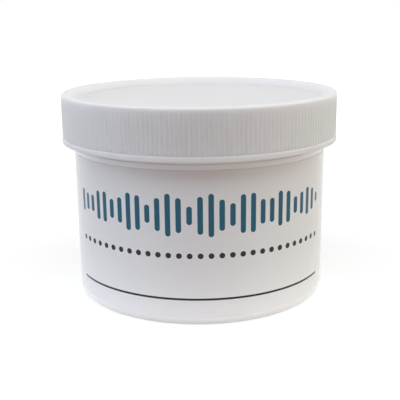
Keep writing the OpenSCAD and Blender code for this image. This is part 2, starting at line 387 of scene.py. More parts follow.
def piece(name, surface, body, nodes, finish, crease=38):
    """Put a surface into a mesh, smooth it up to the crease angle in degrees, and fix it to the
    frame."""
    corners, faces = surface
    mesh = bpy.data.meshes.new(name)
    sizes = np.concatenate([np.full(len(face), face.shape[1]) for face in faces])
    mesh.vertices.add(len(corners))
    mesh.vertices.foreach_set("co", corners.astype(np.float32).ravel())
    mesh.loops.add(int(sizes.sum()))
    loops = np.concatenate([face.ravel() for face in faces])
    mesh.loops.foreach_set("vertex_index", loops.astype(np.int32))
    mesh.polygons.add(len(sizes))
    mesh.polygons.foreach_set("loop_start", (np.cumsum(sizes) - sizes).astype(np.int32))
    mesh.update(calc_edges=True)
    if mesh.validate():
        raise RuntimeError(f"{name}: the surface has a face that doesn't hold together")
    mesh.shade_smooth()
    mesh.set_sharp_from_angle(angle=math.radians(crease))
    mesh.materials.append(finish)
    made = bpy.data.objects.new(name, mesh)
    bpy.context.scene.collection.objects.link(made)
    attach(made, body)
    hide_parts(*nodes)
    return made


def jar_wall(sizes, height):
    """Radius of the tapered wall at a height."""
    return sizes.base_radius + sizes.draft * height / sizes.ring_height


def neck_thread_low(sizes, threads):
    """Height of the middle of the neck's thread where it begins."""
    return sizes.rim_height - threads.below_rim - threads.neck_turns * threads.lead


def jar_surface(sizes, threads):
    """The jar's profile carried round its axis, with the neck's thread up a helix. The wall runs up
    through a shoulder ring, a shallow groove and the neck to the rim."""
    edge, heel, corner = sizes.edge_round, sizes.heel_width, sizes.corner_round
    side = jar_wall(sizes, sizes.heel_height)
    stand = sizes.base_radius - heel - sizes.standing_ring
    step, ring_top = sizes.step_round, sizes.ring_height + sizes.ring_thickness
    groove = sizes.ring_radius - sizes.undercut
    inner_round, slope = 0.3 * MM, 1.5 * sizes.hollow
    top_wall = jar_wall(sizes, sizes.ring_height)
    profile = outline(
        [0, sizes.hollow],
        [stand - slope, sizes.hollow],
        arc(stand + inner_round, inner_round, inner_round, 200, 270, 4),
        arc(0, 0, 1, -90, 0, 12) * [heel, sizes.heel_height] + [side - heel, sizes.heel_height],
        arc(top_wall + step, sizes.ring_height - step, step, 180, 90, 4),
        arc(sizes.ring_radius - step, sizes.ring_height + step, step, -90, 0, 4),
        arc(sizes.ring_radius - step, ring_top - step, step, 0, 90, 4),
        [groove, ring_top],
        [groove, sizes.neck_height + groove - sizes.neck_radius],
        [sizes.neck_radius, sizes.neck_height],
        arc(sizes.neck_radius - edge, sizes.rim_height - edge, edge, 0, 90, 6),
        arc(sizes.bore_radius + edge, sizes.rim_height - edge, edge, 90, 180, 6),
        arc(sizes.bore_radius - corner, sizes.floor_height + corner, corner, 0, -90, 8),
        [0, sizes.floor_height],
    )
    low_thread = neck_thread_low(sizes, threads)
    neck = thread(sizes.neck_radius, 1, threads.neck_turns, low_thread, 0, threads)
    return joined(turned(held(profile)), neck)


RIB_STEPS = np.arange(8) / 8
RIB_RISE = (1 + np.cos(TAU * RIB_STEPS)) / 2


def cap_surface(sizes):
    """The cap's profile carried round its axis. Between the lip and the corner the radius falls from
    the crest by depth * (1 - cos) / 2 once per rib, on a finer ring of corners, and the depth runs
    out at both ends."""
    edge, chamfer, chamfer_height = 0.4 * MM, 0.4 * MM, 0.6 * MM
    foot_join, head_join, foot_turn = 0.05 * MM, 0.03 * MM, -65
    root = sizes.rib_radius - sizes.notch
    lip_top = sizes.foot_height + sizes.lip_height
    panel = sizes.top_height - sizes.panel_sink
    under = high("cap_liner") * MM
    rib_high = sizes.top_height - sizes.corner_round
    lip_centre = sizes.lip_radius - sizes.lip_draft - sizes.lip_round
    lip_end = math.degrees(math.acos((root - lip_centre) / sizes.lip_round))
    inside = held(outline(
        [0, under],
        arc(sizes.skirt_radius - edge, under - edge, edge, 90, 0, 5),
        [sizes.skirt_radius, sizes.foot_height + chamfer_height],
        [sizes.skirt_radius + chamfer, sizes.foot_height],
        arc(sizes.lip_radius - sizes.foot_round,
            sizes.foot_height + sizes.foot_rise + sizes.foot_round, sizes.foot_round, foot_turn, 0, 6),
        arc(lip_centre, lip_top, sizes.lip_round, 0, lip_end, 7),
    ))
    slope = math.atan(sizes.panel_sink / sizes.panel_wall)
    lean, bend = math.degrees(slope), math.tan(slope / 2)
    outside = held(outline(
        arc(sizes.rib_radius - sizes.corner_round, rib_high, sizes.corner_round, 0, 90, 10),
        arc(sizes.panel_radius + sizes.panel_wall + sizes.land_round * bend,
            sizes.top_height - sizes.land_round, sizes.land_round, 90, 90 + lean, 6),
        arc(sizes.panel_radius - sizes.panel_fillet * bend, panel + sizes.panel_fillet,
            sizes.panel_fillet, lean - 90, -90, 6),
        [0, panel],
    ))
    start, end = lip_top + sizes.lip_round + foot_join, rib_high - head_join
    fade_start = end - sizes.rib_fade
    height = np.concatenate([
        start + np.linspace(0, sizes.rib_run, 6),
        np.linspace(start + 2 * sizes.rib_run, fade_start, 3),
        np.linspace(fade_start, end, 9)[1:],
    ])[:, None]
    foot = smooth((height - start) / sizes.rib_run)
    groove = sizes.rib_depth * smooth((end - height) / sizes.rib_fade)
    radius = root + (sizes.rib_radius - groove * (1 - RIB_RISE) - root) * foot
    ratio = len(RIB_STEPS) // 2
    coarse = 2 * sizes.rib_count
    fine = ratio * coarse
    rib = (np.arange(sizes.rib_count)[:, None] + RIB_STEPS).ravel() / sizes.rib_count * TAU
    ribs = about_axis(np.tile(radius, sizes.rib_count), height, rib)
    plain = np.arange(coarse) * TAU / coarse
    lower = about_axis(inside[1:, :1], inside[1:, 1:], plain)
    upper = about_axis(outside[:-1, :1], outside[:-1, 1:], plain)
    poles = [[0, 0, inside[0, 1]], [0, 0, outside[-1, 1]]]
    corners = np.concatenate([part.reshape(-1, 3) for part in (lower, ribs, upper)] + [poles])
    first_rib = lower.size // 3
    first_up = first_rib + ribs.size // 3
    count = first_up + upper.size // 3
    column = np.arange(coarse)[:, None]
    beside = (column + 1) % coarse
    along = (ratio * column + np.arange(ratio + 1)) % fine
    last_low, last_rib = first_rib - coarse, first_up - fine
    faces = [
        grid_faces(len(lower), coarse),
        np.concatenate([last_low + column, last_low + beside, first_rib + along[:, ::-1]], 1),
        first_rib + grid_faces(len(ribs), fine),
        np.concatenate([last_rib + along, first_up + beside, first_up + column], 1),
        first_up + grid_faces(len(upper), coarse),
        *fans(0, count - coarse, coarse, count, count + 1),
    ]
    return corners, faces


def label_surface(sizes, jar, levels=14, lap_steps=24):
    """A film of even thickness round the wall. It starts at the back, and after one turn it rises
    over its own start and lies on it for the length of the lap."""
    turn = jar_wall(jar, sizes.high_edge)
    lap, climb = sizes.lap / turn, sizes.climb / turn
    plain = np.linspace(0, TAU - climb, COLUMNS)
    a = np.append(plain, np.linspace(TAU - climb, TAU + lap, lap_steps + 1)[1:])
    off = sizes.off_wall + sizes.film * smooth((a - TAU + climb) / climb)
    height = np.linspace(sizes.low_edge, sizes.high_edge, levels)[:, None]
    wall = jar_wall(jar, height) + off
    radius = np.concatenate([wall + sizes.film, wall[::-1]])
    height = np.concatenate([height, height[::-1]])
    angle = a - FRONT
    rows, columns = radius.shape
    corners = about_axis(radius, height, angle).reshape(-1, 3)
    faces = [
        grid_faces(rows, columns, wrap_rows=True, wrap_columns=False),
        np.arange(rows)[None, ::-1] * columns,
        np.arange(rows)[None, :] * columns + columns - 1,
    ]
    across = (angle - TAU - FRONT) * turn
    sheet = np.stack(np.broadcast_arrays(across, height), -1).reshape(-1, 2)
    return (corners, faces), sheet


def foam_ring(outer, inner, bottom, top, sizes, rows=18):
    """A cut foam ring: pressed edges, sides drawn in half way up, and a top that falls a little
    towards its edges and has slow waves round it, cos(3 a + 40 r) times cos(5 a - 90 r)."""
    bend, span = sizes.cut_round, top - bottom
    rise = np.linspace(0, 1, 7)[:, None]
    side = bottom + bend + (span - 2 * bend) * rise
    pull = sizes.pinch * np.sin(math.pi * rise)
    fall = sizes.crown
    across = np.linspace(1, 0, rows)[1:-1, None]
    face = inner + bend + (outer - inner - 2 * bend) * across
    lift = top - fall * (2 * across - 1) ** 2
    parts = [
        arc(outer - bend, bottom + bend, bend, -90, 0, 5),
        np.hstack([outer - pull, side - fall * rise])[1:-1],
        arc(outer - bend, top - fall - bend, bend, 0, 90, 5),
        np.hstack([face, lift]),
        arc(inner + bend, top - fall - bend, bend, 90, 180, 5),
        np.hstack([inner + pull, side - fall * rise])[-2:0:-1],
        arc(inner + bend, bottom + bend, bend, 180, 270, 5),
    ]
    profile = np.concatenate(parts)
    angles = np.arange(COLUMNS) * TAU / COLUMNS
    share = np.clip((profile[:, 1:] - (top - fall - bend)) / bend, 0, 1)
    wave = np.cos(3 * angles + 40 * profile[:, :1]) * np.cos(5 * angles - 90 * profile[:, :1]) - 1
    height = profile[:, 1:] + sizes.wave / 2 * share * wave
    corners = about_axis(profile[:, :1], height, angles)
    return corners.reshape(-1, 3), [grid_faces(len(profile), COLUMNS, wrap_rows=True)]


def foam_disc(outer, bottom, top, sizes):
    """A cut foam disc: pressed edges, a side drawn in half way up and a nearly flat top."""
    bend = sizes.cut_round
    rise = np.linspace(0, 1, 7)[:, None]
    side = bottom + bend + (top - bottom - 2 * bend) * rise
    profile = outline(
        [0, bottom],
        arc(outer - bend, bottom + bend, bend, -90, 0, 5),
        np.hstack([outer - sizes.pinch * np.sin(math.pi * rise), side])[1:-1],
        arc(outer - bend, top - bend, bend, 0, 90, 5),
        [0, top],
    )
    return turned(held(profile))


def liner_surface(outer, bottom, top, sizes, jar):
    """The sealing disc, with the shallow mark that the jar's rim presses in its underside."""
    bend, mark, outside, within = 0.25 * MM, sizes.rim_mark, 0.1 * MM, 0.3 * MM
    profile = outline(
        [0, bottom],
        [jar.bore_radius - outside, bottom],
        [jar.bore_radius + within, bottom + mark],
        [jar.neck_radius - within, bottom + mark],
        [jar.neck_radius + outside, bottom],
        arc(outer - bend, bottom + bend, bend, -90, 0, 4),
        arc(outer - bend, top - bend, bend, 0, 90, 4),
        [0, top],
    )
    return turned(held(profile))


def cup_surface(sizes):
    """The drawn cup: flat base, drawn corner, straight wall and rolled ring."""
    inner = sizes.radius - sizes.sheet
    crimp_in = sizes.radius - sizes.crimp_width
    roll, bend = sizes.crimp_round, sizes.corner_round
    centre = sizes.radius - bend
    profile = outline(
        [0, sizes.low],
        arc(centre, sizes.low + bend, bend, -90, 0, 10),
        arc(sizes.radius - roll, sizes.high - roll, roll, 0, 90, 8),
        arc(crimp_in + roll, sizes.high - roll, roll, 90, 180, 8),
        [crimp_in, sizes.high - sizes.crimp_height],
        [inner, sizes.high - sizes.crimp_height],
        arc(centre, sizes.low + bend, bend - sizes.sheet, 0, -90, 8),
        [0, sizes.low + sizes.sheet],
    )
    return turned(held(profile))


def filter_surface(outer, inner, bottom, top):
    """The dust filter: a thin felt ring with soft edges."""
    bend = (top - bottom) * 0.35
    profile = outline(
        arc(outer - bend, bottom + bend, bend, -90, 0, 3),
        arc(outer - bend, top - bend, bend, 0, 90, 3),
        arc(inner + bend, top - bend, bend, 90, 180, 3),
        arc(inner + bend, bottom + bend, bend, 180, 270, 3),
    )
    return turned_ring(held(profile, closed=True))


def lens_surface(sizes, flange, bottom, shoulder, top):
    """The window: a flange held under the cover, a straight body and a low dome."""
    half = math.degrees(math.asin(sizes.lens_radius / sizes.lens_bulge))
    soft = 0.12 * MM
    profile = outline(
        [0, bottom],
        arc(flange - soft, bottom + soft, soft, -90, 0, 3),
        arc(flange - soft, shoulder - soft, soft, 0, 90, 3),
        [sizes.lens_radius, shoulder],
        arc(0, top - sizes.lens_bulge, sizes.lens_bulge, 90 - half, 90, 12),
    )
    profile[-1, 0] = 0
    return turned(held(profile), COLUMNS // 2)


def grommet_surface(outer, inner, bottom, top):
    """The window's ring, with both upper edges rounded."""
    bend = 0.35 * MM
    profile = outline(
        [inner, bottom],
        [outer, bottom],
        arc(outer - bend, top - bend, bend, 0, 90, 6),
        arc(inner + bend, top - bend, bend, 90, 180, 6),
    )
    return turned_ring(held(profile, closed=True), COLUMNS // 2)


def bead_places(sizes, height):
    """Centres of a middle bead and closed rings of 6, 12, 18 ... beads round it."""
    pitch = sizes.bead + sizes.bead_gap
    places = [[0, 0, height]]
    for ring in range(1, sizes.bead_rings + 1):
        angles = np.arange(6 * ring) * TAU / (6 * ring)
        places += about_axis(ring * pitch, height, angles).tolist()
    return np.array(places)


def beads_surface(sizes, height):
    """One ball, a half circle carried round its axis, set down at every bead's place."""
    ball, faces = turned(arc(0, 0, sizes.bead / 2, -90, 90, 12), columns=20)
    places = bead_places(sizes, height)
    corners = (places[:, None, :] + ball).reshape(-1, 3)
    start = np.arange(len(places))[:, None, None] * len(ball)
    return corners, [(face + start).reshape(-1, face.shape[1]) for face in faces]


def bed_surface(sizes, bottom, top, outer, pocket, pocket_low, rings=24):
    """The bed of gel. The floor of its pocket is dimpled by beads that lie in rows of six:
    its depth follows the nearest bead's round top."""
    bend, pit, margin = sizes.corner_round - sizes.sheet, 0.7 * MM, 0.1 * MM
    rim = held(outline(
        arc(outer - bend, bottom + bend, bend, -90, 0, 6),
        [outer, top],
        [pocket, top],
        [pocket, pocket_low - pit],
    ))
    floor = np.stack([np.linspace(pocket, 0, rings + 2)[1:-1], np.full(rings, pocket_low - pit)], -1)
    profile = np.concatenate([[[0, bottom]], rim, floor, [[0, pocket_low - margin]]])
    corners, faces = turned(profile)
    radius = sizes.bead / 2
    flat = np.hypot(corners[:, 0], corners[:, 1])
    inside = (flat < pocket - margin) & (corners[:, 2] > pocket_low - 2 * pit)
    row = radius * math.sqrt(3)
    across, along = corners[inside, 0], corners[inside, 1]
    nearest = np.ones(inside.sum())
    for shift in (0, 1):
        v = (np.round((along / row - shift) / 2) * 2 + shift) * row
        u = (np.round(across / (2 * radius) - shift / 2) + shift / 2) * 2 * radius
        nearest = np.minimum(nearest, np.hypot(across - u, along - v))
    round_top = np.sqrt(np.clip(radius ** 2 - nearest ** 2, 0, None))
    corners[inside, 2] = pocket_low - radius + round_top
    return corners, faces


# Node trees


def add(tree, kind, inputs=(), **settings):
    """Add a shader node, set its properties, and give each input a value or a link."""
    made = tree.nodes.new("ShaderNode" + kind)
    for name, value in settings.items():
        setattr(made, name, value)
    for key, value in dict(inputs).items():
        if isinstance(value, bpy.types.NodeSocket):
            tree.links.new(value, made.inputs[key])
        else:
            made.inputs[key].default_value = value
    return made


def maths(tree, operation, *values):
    """The result of a Math node."""
    return add(tree, "Math", enumerate(values), operation=operation).outputs[0]


def blended(tree, share, first, second, blend_type="MIX"):
    """The colour of a Mix node."""
    made = add(tree, "Mix", {0: share, 6: first, 7: second}, data_type="RGBA", blend_type=blend_type)
    return made.outputs[2]


def spread(tree, value, low_in, high_in, low_out, high_out, eased=False):
    """A value moved from one range to another and kept inside it."""
    style = "SMOOTHSTEP" if eased else "LINEAR"
    sockets = {0: value, 1: low_in, 2: high_in, 3: low_out, 4: high_out}
    return add(tree, "MapRange", sockets, interpolation_type=style).outputs[0]


def place_of(tree):
    """A point's own place on its piece, in metres."""
    return add(tree, "TexCoord").outputs["Object"]


def noise(tree, place, scale, detail):
    """A Noise texture's value at a place."""
    return add(tree, "TexNoise", {"Vector": place, "Scale": scale, "Detail": detail}).outputs["Fac"]


def stretched(tree, place, scale, turn=0):
    """A place scaled along each axis and turned about the upright one."""
    return add(tree, "Mapping", {"Vector": place, "Scale": scale, "Rotation": (0, 0, turn)}).outputs[0]


def grey(tree, shade):
    """A colour with the same red, green and blue."""
    return add(tree, "CombineColor", {0: shade, 1: shade, 2: shade}).outputs[0]


def about_half(tree, value, scale, middle):
    """(value - 0.5) * scale + middle."""
    return maths(tree, "MULTIPLY_ADD", maths(tree, "SUBTRACT", value, 0.5), scale, middle)


def bumped(tree, height, distance):
    """The normal of a surface that rises by up to a distance with the height."""
    return add(tree, "Bump", {"Height": height, "Distance": distance, "Strength": 1.0}).outputs[0]


def seen(tree):
    """1 for a ray from the camera, off gloss or through glass, and 0 for one that gathers light."""
    path = add(tree, "LightPath").outputs
    mirrored = maths(tree, "MAXIMUM", path["Is Glossy Ray"], path["Is Transmission Ray"])
    return maths(tree, "MAXIMUM", path["Is Camera Ray"], mirrored)


def new_group(name, inputs, outputs):
    """An empty node group with named inputs (name: kind, default) and outputs (name: kind)."""
    tree = bpy.data.node_groups.new(name, "ShaderNodeTree")
    for label, (kind, default) in inputs.items():
        socket = tree.interface.new_socket(label, in_out="INPUT", socket_type="NodeSocket" + kind)
        socket.default_value = default
    for label, kind in outputs.items():
        tree.interface.new_socket(label, in_out="OUTPUT", socket_type="NodeSocket" + kind)
    return tree, tree.nodes.new("NodeGroupInput").outputs, tree.nodes.new("NodeGroupOutput").inputs


def put(tree, sink, **values):
    """Link results to a group's outputs, whose names have _ for a space."""
    for name, value in values.items():
        tree.links.new(value, sink[name.replace("_", " ")])


def moulded_group():
    """Moulded plastic: slow clouds in shade and gloss, fine grain, and a few faint rubbed streaks."""
    tree, given, sink = new_group("Moulded plastic", {
        "Color": ("Color", (0.8, 0.8, 0.8, 1)),
        "Shade": ("Float", 0.02),
        "Roughness": ("Float", 0.4),
        "Gloss change": ("Float", 0.06),
        "Grain": ("Float", 2500.0),
        "Grain height": ("Float", 0.00001),
        "Rub": ("Float", 0.05),
    }, {"Color": "Color", "Roughness": "Float", "Normal": "Vector"})
    place = place_of(tree)
    clouds = noise(tree, place, 38.0, 3.0)
    grain = noise(tree, place, given["Grain"], 2.0)
    streak = noise(tree, stretched(tree, place, (140, 140, 420)), 1.0, 3.0)
    rubbed = spread(tree, streak, 0.45, 0.8, 0.0, 1.0, eased=True)
    shade = grey(tree, about_half(tree, clouds, given["Shade"], 1.0))
    gloss = about_half(tree, clouds, given["Gloss change"], given["Roughness"])
    put(tree, sink, Color=blended(tree, 1.0, given["Color"], shade, "MULTIPLY"),
        Roughness=maths(tree, "MULTIPLY_ADD", rubbed, given["Rub"], gloss),
        Normal=bumped(tree, grain, given["Grain height"]))
    return tree


def foam_group():
    """Foam cells: round cells whose hollows carry painted shade, and thin struts between them that stand
    proud.
    """
    tree, given, sink = new_group("Foam cells", {
        "Color": ("Color", (0.1, 0.1, 0.1, 1)),
        "Mouth": ("Color", (0.01, 0.01, 0.01, 1)),
        "Cells": ("Float", 1100.0),
        "Cell depth": ("Float", 0.0004),
        "Openness": ("Float", 0.8),
    }, {"Color": "Color", "Normal": "Vector"})
    place = place_of(tree)
    waver = add(tree, "TexNoise", {"Vector": place, "Scale": 400.0, "Detail": 2.0}).outputs["Color"]
    sway = (0.7 * MM,) * 3
    bent = add(tree, "VectorMath", {0: waver, 1: sway, 2: place}, operation="MULTIPLY_ADD").outputs[0]
    cells = add(tree, "TexVoronoi", {"Vector": bent, "Scale": given["Cells"]}).outputs["Distance"]
    finer = maths(tree, "MULTIPLY", given["Cells"], 2.3)
    small = add(tree, "TexVoronoi", {"Vector": bent, "Scale": finer}).outputs["Distance"]
    wall = spread(tree, cells, 0.15, 0.55, 0.0, 1.0, eased=True)
    fine = spread(tree, small, 0.1, 0.5, 0.0, 1.0, eased=True)
    height = maths(tree, "MULTIPLY_ADD", fine, 0.3, wall)
    shaded = spread(tree, noise(tree, place, 60.0, 3.0), 0.3, 0.7, 0.0, 0.25)
    lit = blended(tree, shaded, given["Color"], given["Mouth"])
    # Painted shade: each cell's middle is darkened towards the shadow colour, as shade in its hollow.
    hole = maths(tree, "MULTIPLY", maths(tree, "SUBTRACT", 1.0, wall), given["Openness"])
    put(tree, sink, Color=blended(tree, hole, lit, given["Mouth"]),
        Normal=bumped(tree, height, given["Cell depth"]))
    return tree


def drawn_group():
    """Drawn and spun sheet: fine rings round the axis on the flats, and long marks up the sides."""
    tree, given, sink = new_group("Drawn sheet", {
        "Color": ("Color", (0.8, 0.8, 0.8, 1)),
        "Roughness": ("Float", 0.3),
        "Marks": ("Float", 0.14),
        "Mark height": ("Float", 0.000012),
    }, {"Color": "Color", "Roughness": "Float", "Normal": "Vector"})
    place = place_of(tree)
    parts = add(tree, "SeparateXYZ", {0: place}).outputs
    flat = add(tree, "CombineXYZ", {0: parts[0], 1: parts[1]}).outputs[0]
    radius = add(tree, "VectorMath", {0: flat}, operation="LENGTH").outputs["Value"]
    turn = maths(tree, "ARCTAN2", parts[1], parts[0])
    polar = add(tree, "CombineXYZ", {
        0: maths(tree, "MULTIPLY", radius, 4200.0),
        1: maths(tree, "MULTIPLY", turn, 1.2),
        2: maths(tree, "MULTIPLY", parts[2], 2600.0),
    }).outputs[0]
    rings = noise(tree, polar, 1.0, 3.0)
    dull = spread(tree, noise(tree, place, 120.0, 4.0), 0.35, 0.75, 0.0, 0.12, eased=True)
    gloss = about_half(tree, rings, given["Marks"], given["Roughness"])
    shade = grey(tree, spread(tree, rings, 0.3, 0.7, 0.90, 1.0))
    put(tree, sink, Color=blended(tree, 1.0, given["Color"], shade, "MULTIPLY"),
        Roughness=maths(tree, "ADD", gloss, dull), Normal=bumped(tree, rings, given["Mark height"]))
    return tree


def gel_group():
    """Drying gel: beads that differ a little in tone, each with a cloudy, slightly pitted skin."""
    tree, given, sink = new_group("Drying gel", {
        "Color": ("Color", (0.7, 0.7, 0.7, 1)),
        "Pale": ("Color", (0.9, 0.9, 0.9, 1)),
        "Bead scale": ("Float", 330.0),
        "Pitting": ("Float", 0.00004),
    }, {"Color": "Color", "Roughness": "Float", "Normal": "Vector"})
    place = place_of(tree)
    bead = add(tree, "TexVoronoi", {"Vector": place, "Scale": given["Bead scale"]}).outputs["Color"]
    tone = add(tree, "SeparateColor", {0: bead}).outputs[0]
    cloud = noise(tree, place, 900.0, 3.0)
    share = maths(tree, "MULTIPLY", maths(tree, "ADD", tone, cloud), 0.28)
    put(tree, sink, Color=blended(tree, share, given["Color"], given["Pale"]),
        Roughness=spread(tree, cloud, 0.3, 0.7, 0.12, 0.30),
        Normal=bumped(tree, cloud, given["Pitting"]))
    return tree


GROUPS = {
    "Moulded plastic": moulded_group,
    "Foam cells": foam_group,
    "Drawn sheet": drawn_group,
    "Drying gel": gel_group,
}


def grouped(tree, name, **values):
    """A node group, built when it is first used, placed with this material's values."""
    made = add(tree, "Group", node_tree=bpy.data.node_groups.get(name) or GROUPS[name]())
    for key, value in values.items():
        made.inputs[key.replace("_", " ")].default_value = value
    return made.outputs


def rgba(rgb):
    """A colour property as red, green, blue and full alpha."""
    return (*rgb, 1)


def bare_tree(owner):
    """A material's or world's node tree, switched on and emptied."""
    owner.use_nodes = True
    owner.node_tree.nodes.clear()
    return owner.node_tree


def material(name, **sockets):
    """A material with one Principled shader, whose constant values are set on its own sockets."""
    made = bpy.data.materials.new(name)
    tree = bare_tree(made)
    constants = {key.replace("_", " "): value for key, value in sockets.items()}
    shader = add(tree, "BsdfPrincipled", constants)
    add(tree, "OutputMaterial", {"Surface": shader.outputs[0]})
    return made, tree, shader.inputs


def plug(tree, shader, outputs, **names):
    """Link a group's outputs to the shader's inputs, as input=output."""
    for name, source in names.items():
        tree.links.new(outputs[source], shader[name.replace("_", " ")])


# Materials


def white_plastic(name, rgb, roughness, grain_height, share, depth, skin=0.0):
    """Satin polypropylene, as moulded. A share of the light spreads to a depth inside it, and a
    moulding that was pressed against a polished tool has a glossier skin."""
    made, tree, shader = material(
        name, IOR=1.49, Subsurface_Weight=share, Subsurface_Radius=(1, 1, 1), Subsurface_Scale=depth,
        Coat_Weight=skin, Coat_Roughness=0.25)
    cast = grouped(
        tree, "Moulded plastic", Color=rgba(rgb), Roughness=roughness, Grain_height=grain_height)
    plug(tree, shader, cast, Base_Color="Color", Roughness="Roughness", Normal="Normal")
    return made


def foot_shaded_plastic(name, rgb, foot_height, foot_shade=0.70, waver=0.6 * MM):
    """The jar's plastic, with a polished skin, and painted shade that greys it towards its foot,
    standing in for the shadow where it meets the table.
    """
    made = white_plastic(
        name, rgb, roughness=0.30, grain_height=0.000005, share=0.0, depth=1 * MM, skin=1.0)
    tree = made.node_tree
    shader = next(node for node in tree.nodes if node.type == "BSDF_PRINCIPLED").inputs
    place = place_of(tree)
    rise = add(tree, "SeparateXYZ", {0: place}).outputs[2]
    rise = about_half(tree, noise(tree, place, 900.0, 4.0), waver, rise)
    # Painted shade: the colour is multiplied down from 1 at the foot height to foot_shade at the table,
    # with a wavering edge.
    painted_foot_shade = grey(tree, spread(tree, rise, 0.0, foot_height, foot_shade, 1.0))
    plain = shader["Base Color"].links[0].from_socket
    tree.links.new(blended(tree, 1.0, plain, painted_foot_shade, "MULTIPLY"), shader["Base Color"])
    return made


def round_ended(tree, across, up, width, soft=0.06 * MM):
    """Mask of a printed stroke with round ends, from the distances past its two half lengths."""
    squares = [maths(tree, "POWER", side, 2.0) for side in (across, up)]
    away, edge = maths(tree, "SQRT", maths(tree, "ADD", *squares)), width / 2
    return spread(tree, away, edge - soft, edge + soft, 1.0, 0.0, eased=True)


def past(tree, value, middle, half):
    """How far a value lies beyond a half length either side of its middle."""
    away = maths(tree, "ABSOLUTE", maths(tree, "SUBTRACT", value, middle))
    return maths(tree, "MAXIMUM", maths(tree, "SUBTRACT", away, half), 0.0)


def sound_bars(tree, across, up, sizes):
    """Masks of a row of upright bars and of a row of dots below it. A bar's height follows two beats
    of its number n: (0.38 + 0.62 |sin(0.83 n + 0.9)|) cos(0.07 n)."""
    beat_step, beat_start, swell_step, least = 0.83, 0.9, 0.07, 0.38
    number = maths(tree, "ROUND", maths(tree, "DIVIDE", across, sizes.bar_pitch))
    beside = maths(tree, "SUBTRACT", across, maths(tree, "MULTIPLY", number, sizes.bar_pitch))
    beat = maths(tree, "SINE", maths(tree, "MULTIPLY_ADD", number, beat_step, beat_start))
    beat = maths(tree, "MULTIPLY_ADD", maths(tree, "ABSOLUTE", beat), 1 - least, least)
    swell = maths(tree, "COSINE", maths(tree, "MULTIPLY", number, swell_step))
    share = maths(tree, "MULTIPLY", beat, swell)
    half = maths(tree, "MULTIPLY_ADD", share, sizes.bar_reach, -sizes.bar_width / 2)
    inside = maths(tree, "LESS_THAN", maths(tree, "ABSOLUTE", across), sizes.print_reach)
    bars = round_ended(tree, beside, past(tree, up, sizes.bar_middle, half), sizes.bar_width)
    dots = round_ended(tree, beside, past(tree, up, sizes.dot_height, 0.0), sizes.dot_width)
    return maths(tree, "MULTIPLY", bars, inside), maths(tree, "MULTIPLY", dots, inside)


def printed_film(finishes, sizes):
    """Glossy label film: printed bars, dots and a rule on its own UV map, which is in metres."""
    made, tree, shader = material("label film", IOR=1.38)
    sheet = add(tree, "UVMap", uv_map="sheet").outputs[0]
    parts = add(tree, "SeparateXYZ", {0: sheet}).outputs
    bars, dots = sound_bars(tree, parts[0], parts[1], sizes)
    rule = round_ended(
        tree, past(tree, parts[0], 0.0, sizes.print_reach),
        past(tree, parts[1], sizes.rule_height, 0.0), sizes.rule_width)
    dark = maths(tree, "MAXIMUM", dots, rule)
    cast = grouped(tree, "Moulded plastic", Color=rgba(finishes.film), Shade=0.012, Roughness=0.2,
                   Gloss_change=0.01, Grain=500.0, Grain_height=0.000002, Rub=0.0)
    cover = spread(tree, noise(tree, sheet, 3000.0, 2.0), 0.25, 0.45, 0.93, 1.0)
    inked = blended(tree, maths(tree, "MULTIPLY", bars, cover), cast["Color"], rgba(finishes.teal))
    inked = blended(tree, maths(tree, "MULTIPLY", dark, cover), inked, rgba(finishes.slate))
    tree.links.new(inked, shader["Base Color"])
    plug(tree, shader, cast, Roughness="Roughness", Normal="Normal")
    return made


def open_cell_foam(finishes):
    """Dark open-cell foam of the pads, with painted shade in its cells."""
    made, tree, shader = material(
        "pad foam", Roughness=0.95, IOR=1.4, Sheen_Weight=0.25, Sheen_Roughness=0.6)
    foam = grouped(tree, "Foam cells", Color=rgba(finishes.pad), Mouth=rgba(finishes.pad_cell_shade),
                   Cells=1050.0, Cell_depth=0.0005, Openness=0.85)
    plug(tree, shader, foam, Base_Color="Color", Normal="Normal")
    return made


def sealing_foam(finishes):
    """White closed-cell foam of the sealing disc, with painted shade in its cells."""
    made, tree, shader = material("liner foam", Roughness=0.75, IOR=1.45)
    # pale is a darker copy of the liner, painted as shade in the cells' hollows.
    pale = tuple(0.82 * part for part in finishes.liner)
    foam = grouped(tree, "Foam cells", Color=rgba(finishes.liner), Mouth=(*pale, 1),
                   Cells=3800.0, Cell_depth=0.00006, Openness=0.4)
    plug(tree, shader, foam, Base_Color="Color", Normal="Normal")
    return made


def drawn_aluminium(name, finishes, roughness, marks):
    """Bare aluminium sheet with its drawing marks."""
    made, tree, shader = material(name, Metallic=1.0, IOR=1.45)
    sheet = grouped(tree, "Drawn sheet", Color=rgba(finishes.metal), Roughness=roughness, Marks=marks)
    plug(tree, shader, sheet, Base_Color="Color", Roughness="Roughness", Normal="Normal")
    return made


def filter_felt(finishes):
    """Pressed fibres: short crossed threads in shade and height."""
    made, tree, shader = material("filter felt", Roughness=0.95, Sheen_Weight=0.3)
    place = place_of(tree)
    first = noise(tree, stretched(tree, place, (500, 4500, 2500)), 1.0, 3.0)
    second = noise(tree, stretched(tree, place, (4500, 600, 2500), 0.6), 1.0, 3.0)
    fibres = maths(tree, "MAXIMUM", first, second)
    dark = tuple(0.6 * part for part in finishes.felt)
    shade = blended(tree, spread(tree, fibres, 0.42, 0.72, 0.0, 1.0), (*dark, 1), rgba(finishes.felt))
    tree.links.new(shade, shader["Base Color"])
    tree.links.new(bumped(tree, fibres, 0.12 * MM), shader["Normal"])
    return made


def clear_plastic(finishes):
    """Clear moulded plastic of the window, with a faint ripple from the mould."""
    made, tree, shader = material("window plastic", IOR=1.49, Transmission_Weight=1.0, Metallic=0.0)
    ripple = noise(tree, place_of(tree), 260.0, 1.0)
    tint = blended(tree, ripple, rgba(finishes.window), rgba(finishes.ripple))
    tree.links.new(tint, shader["Base Color"])
    tree.links.new(spread(tree, ripple, 0.3, 0.7, 0.03, 0.07), shader["Roughness"])
    tree.links.new(bumped(tree, ripple, 0.03 * MM), shader["Normal"])
    return made


